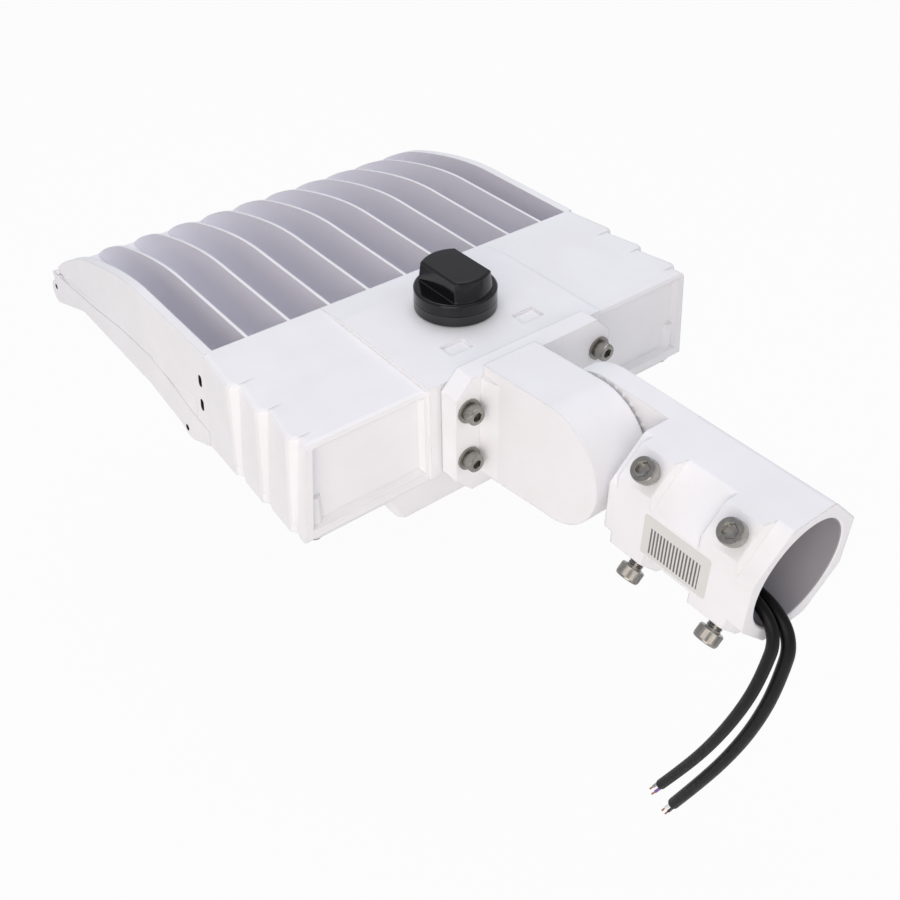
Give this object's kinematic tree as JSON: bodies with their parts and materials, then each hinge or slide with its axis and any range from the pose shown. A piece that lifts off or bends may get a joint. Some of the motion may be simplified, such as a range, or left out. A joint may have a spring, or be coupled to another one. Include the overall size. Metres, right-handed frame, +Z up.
{
  "type": "shoebox area light",
  "caption": "White shoebox area light with a finned lamp head, rear driver box, twist-lock cap, tilting knuckle and slip-fitter tenon mount with two black leads.",
  "frame": {"origin": "centre of the tenon socket's mouth, on the socket's axis", "axes": "+Y along the socket, from its mouth towards the lamp head, +X the lamp's width, +Z up, away from the lit side"},
  "size_m": [0.3588, 0.6963, 0.3479],
  "materials": {
    "white_casting": "satin white powder coat",
    "black_plastic": "gloss",
    "dark_steel": "dull plated",
    "black_rubber": "matt",
    "white_rubber": "matt",
    "grey_rubber": "matt",
    "lead_jacket": "satin",
    "copper": "bright",
    "lens": "clear",
    "board": "matt",
    "chip": "gloss",
    "bare_aluminium": "satin",
    "grey_plastic": "matt",
    "brass": "bright"
  },
  "bodies": {
    "fitter": {"slip_fitter": "white_casting", "pivot_bolt": "dark_steel", "pivot_washer": "dark_steel", "lead_bushing": "black_rubber", "supply_lead": "lead_jacket", "dimming_lead": "lead_jacket", "supply_cores": "copper", "dimming_cores": "copper"},
    "head": {"arm": "white_casting", "flange_gasket": "white_rubber", "flange_bolts": "dark_steel", "flange_washers": "dark_steel", "housing": "white_casting", "box_cover": "white_casting", "cover_seal": "grey_rubber", "cover_screws": "dark_steel", "vent_plug": "grey_plastic", "led_driver": "bare_aluminium", "surge_protector": "grey_plastic", "terminal_block": "grey_plastic", "control_socket": "black_plastic", "socket_seal": "grey_rubber", "led_board": "board", "led_chips": "chip", "lens_seal": "grey_rubber", "lens_plate": "lens", "optic_frame": "white_casting", "frame_screws": "dark_steel"},
    "cap": {"shorting_cap": "black_plastic", "cap_blades": "brass"},
    "tenon_bolt_upper_rear": {"tenon_bolt_upper_rear": "dark_steel"},
    "tenon_bolt_upper_front": {"tenon_bolt_upper_front": "dark_steel"},
    "tenon_bolt_lower_rear": {"tenon_bolt_lower_rear": "dark_steel"},
    "tenon_bolt_lower_front": {"tenon_bolt_lower_front": "dark_steel"}
  },
  "joints": [
    {"name": "head_tilt", "type": "hinge", "parent": "fitter", "child": "head", "pos_m": [0, 0.156, 0], "axis": [1, 0, 0], "range_deg": [-90, 30]},
    {"name": "cap_twist", "type": "hinge", "parent": "head", "child": "cap", "pos_m": [0, 0.307, 0], "axis": [0, 0, 1], "range_deg": [0, 30]},
    {"name": "set_upper_rear_travel", "type": "slide", "parent": "fitter", "child": "tenon_bolt_upper_rear", "axis": [-0.7071, 0, 0.7071], "range_m": [-0.004, 0.008]},
    {"name": "set_upper_front_travel", "type": "slide", "parent": "fitter", "child": "tenon_bolt_upper_front", "axis": [-0.7071, 0, 0.7071], "range_m": [-0.004, 0.008]},
    {"name": "set_lower_rear_travel", "type": "slide", "parent": "fitter", "child": "tenon_bolt_lower_rear", "axis": [-0.7071, 0, -0.7071], "range_m": [-0.004, 0.008]},
    {"name": "set_lower_front_travel", "type": "slide", "parent": "fitter", "child": "tenon_bolt_lower_front", "axis": [-0.7071, 0, -0.7071], "range_m": [-0.004, 0.008]}
  ]
}
